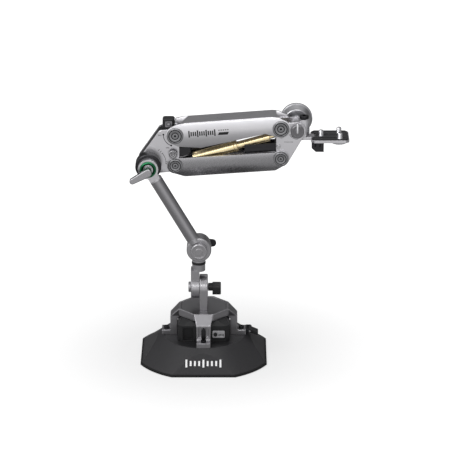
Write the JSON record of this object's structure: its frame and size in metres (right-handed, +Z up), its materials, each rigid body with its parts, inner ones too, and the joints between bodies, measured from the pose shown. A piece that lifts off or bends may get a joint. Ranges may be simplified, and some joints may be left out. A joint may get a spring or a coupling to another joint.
{
  "type": "hydraulic arm kit",
  "caption": "Damped parallelogram support arm on a round vacuum base, with a jointed lower arm and a tilting, panning camera plate.",
  "frame": {"origin": "centre of the suction foot on the surface that it stands on", "axes": "+Z up, +X along the links towards the camera plate, -Y towards the front, where the elbow lever is"},
  "size_m": [0.2655, 0.152, 0.3097],
  "materials": {
    "rubber": "moulded black rubber, matt",
    "shell_plastic": "fine-grained dark grey moulding, satin",
    "black_plastic": "fine-grained black moulding",
    "battery_wrap": "shrink-wrapped cell",
    "board": "green circuit board",
    "steel": "turned steel",
    "polished_steel": "polished steel",
    "black_steel": "black oxide steel",
    "black_metal": "black anodised aluminium, satin",
    "silver_aluminium": "bead-blasted silver anodised aluminium",
    "light_aluminium": "light bead-blasted aluminium",
    "grey_aluminium": "dark grey anodised aluminium",
    "dark_aluminium": "dark anodised aluminium, satin",
    "cap_grey": "dark grey turned aluminium with concentric tool marks",
    "bright_aluminium": "bright turned aluminium",
    "green_anodised": "green anodised turned ring",
    "gold_anodised": "gold anodised tube"
  },
  "bodies": {
    "base": {"suction_cup": "rubber", "base_shell": "shell_plastic", "deck_plate": "black_plastic", "pump_head": "black_plastic", "pump_motor": "steel", "battery": "battery_wrap", "inner_housing": "black_plastic", "control_panel": "light_aluminium", "charge_socket": "steel", "circuit_board": "board", "crown_frame": "grey_aluminium", "roof_plate": "dark_aluminium", "crown_screws": "black_steel", "release_bracket": "black_steel", "release_pin": "steel", "ear_bracket": "grey_aluminium", "tilt_bolt": "grey_aluminium"},
    "button": {"power_button": "black_plastic"},
    "release": {"release_tab": "black_plastic"},
    "tilt_clamp": {"tilt_knob": "black_plastic"},
    "column": {"tilt_paddle": "silver_aluminium", "friction_ring": "black_plastic"},
    "swivel": {"shoulder_yoke": "silver_aluminium"},
    "shoulder_clamp": {"shoulder_wing": "black_metal"},
    "arm": {"arm_tube": "grey_aluminium", "shoulder_head": "grey_aluminium", "shoulder_cap": "grey_aluminium", "shoulder_bolt": "steel", "elbow_head": "silver_aluminium", "elbow_ring": "green_anodised", "elbow_bolt": "steel", "elbow_nut": "black_steel"},
    "elbow_clamp": {"elbow_lever": "polished_steel"},
    "left_knuckle": {"elbow_collar": "black_metal", "left_plates": "silver_aluminium", "left_spine": "black_metal", "left_pivot_pins": "steel", "left_pivot_caps": "cap_grey"},
    "tension": {"tension_knob": "black_plastic"},
    "upper": {"upper_link": "silver_aluminium"},
    "lower": {"lower_link": "silver_aluminium"},
    "bar": {"centre_bar": "black_metal"},
    "damper": {"damper_eye": "black_metal", "damper_cylinder": "gold_anodised", "damper_collar": "gold_anodised"},
    "rod": {"damper_rod": "gold_anodised", "damper_rod_end": "gold_anodised"},
    "right_knuckle": {"right_plates": "silver_aluminium", "right_spacer": "black_metal", "right_pivot_pins": "steel", "right_pivot_caps": "cap_grey"},
    "head": {"head_block": "silver_aluminium", "tilt_pin": "cap_grey"},
    "drum": {"tilt_drum": "bright_aluminium"},
    "plate": {"camera_plate": "silver_aluminium", "rubber_pad": "rubber", "camera_studs": "polished_steel", "pan_bolt": "black_steel"},
    "plate_clamp": {"plate_wing": "black_metal"},
    "plate_screw": {"screw_knob": "bright_aluminium"}
  },
  "joints": [
    {"name": "base_tilt", "type": "hinge", "parent": "base", "child": "column", "pos_m": [0, 0, 0.0884], "axis": [1, 0, 0], "range_deg": [-30, 30]},
    {"name": "tilt_clamp_turn", "type": "hinge", "parent": "base", "child": "tilt_clamp", "pos_m": [0.008, 0, 0.0884], "axis": [1, 0, 0], "range_deg": [-60, 60]},
    {"name": "column_swivel", "type": "hinge", "parent": "column", "child": "swivel", "pos_m": [-0.00605, 0, 0.1195], "axis": [0, 0, 1], "range_deg": [-170, 170]},
    {"name": "shoulder_bend", "type": "hinge", "parent": "swivel", "child": "arm", "pos_m": [-0.0055, 0, 0.1426], "axis": [0, 1, 0], "range_deg": [-40, 40]},
    {"name": "shoulder_clamp_turn", "type": "hinge", "parent": "swivel", "child": "shoulder_clamp", "pos_m": [-0.0055, 0.01, 0.1426], "axis": [0, 1, 0], "range_deg": [-70, 45]},
    {"name": "elbow_bend", "type": "hinge", "parent": "arm", "child": "left_knuckle", "pos_m": [-0.0665, 0, 0.248], "axis": [0, 1, 0], "range_deg": [-45, 25]},
    {"name": "elbow_clamp_turn", "type": "hinge", "parent": "arm", "child": "elbow_clamp", "pos_m": [-0.0665, -0.03, 0.248], "axis": [0, 1, 0], "range_deg": [-60, 60]},
    {"name": "tension_turn", "type": "hinge", "parent": "left_knuckle", "child": "tension", "pos_m": [-0.0419, 0.016, 0.29], "axis": [0, 0, 1], "continuous": true},
    {"name": "link_swing", "type": "hinge", "parent": "left_knuckle", "child": "upper", "pos_m": [-0.0339, 0.016, 0.2846], "axis": [0, -1, 0], "range_deg": [-20, 20]},
    {"name": "lower_link_swing", "type": "hinge", "parent": "left_knuckle", "child": "lower", "pos_m": [-0.0339, 0.016, 0.2466], "axis": [0, -1, 0], "range_deg": [-20.5, 20.5]},
    {"name": "centre_bar_swing", "type": "hinge", "parent": "left_knuckle", "child": "bar", "pos_m": [-0.0365, 0.016, 0.2611], "axis": [0, -1, 0], "range_deg": [-20.5, 20.5]},
    {"name": "damper_swing", "type": "hinge", "parent": "left_knuckle", "child": "damper", "pos_m": [-0.0339, 0.0145, 0.2466], "axis": [0, -1, 0], "range_deg": [-19.5, 19.5]},
    {"name": "damper_stroke", "type": "slide", "parent": "damper", "child": "rod", "axis": [0.9628, 0, 0.2704], "range_m": [-0.0092, 0.0092]},
    {"name": "level_hinge", "type": "hinge", "parent": "upper", "child": "right_knuckle", "pos_m": [0.094, 0.016, 0.29345], "axis": [0, -1, 0], "range_deg": [-20.5, 20.5]},
    {"name": "head_tilt", "type": "hinge", "parent": "right_knuckle", "child": "head", "pos_m": [0.114, 0.016, 0.2899], "axis": [0, 1, 0], "range_deg": [-25, 25]},
    {"name": "drum_turn", "type": "hinge", "parent": "head", "child": "drum", "pos_m": [0.114, 0.04, 0.2899], "axis": [0, 1, 0], "continuous": true},
    {"name": "head_pan", "type": "hinge", "parent": "head", "child": "plate", "pos_m": [0.1225, 0.016, 0.29], "axis": [0, 0, 1], "range_deg": [-25, 25]},
    {"name": "plate_clamp_turn", "type": "hinge", "parent": "plate", "child": "plate_clamp", "pos_m": [0.1393, 0.016, 0.27], "axis": [0, 0, 1], "continuous": true},
    {"name": "plate_screw_turn", "type": "hinge", "parent": "plate", "child": "plate_screw", "pos_m": [0.165, 0.014, 0.273], "axis": [0, 0, 1], "continuous": true},
    {"name": "release_lift", "type": "hinge", "parent": "base", "child": "release", "pos_m": [0.057, 0, 0.032], "axis": [0, -1, 0], "range_deg": [0, 50]},
    {"name": "button_press", "type": "slide", "parent": "base", "child": "button", "axis": [0, 1, 0], "range_m": [0, 0.0008], "stiffness_N_per_m": 1500, "springref_m": -0.0006}
  ],
  "couplings": [
    {"joint": "lower_link_swing", "follows": "link_swing", "ratio": 1},
    {"joint": "centre_bar_swing", "follows": "link_swing", "ratio": 1},
    {"joint": "damper_swing", "follows": "link_swing", "ratio": 0.94},
    {"joint": "damper_stroke", "follows": "link_swing", "m_per_rad": 0.02525},
    {"joint": "level_hinge", "follows": "link_swing", "ratio": -1}
  ]
}
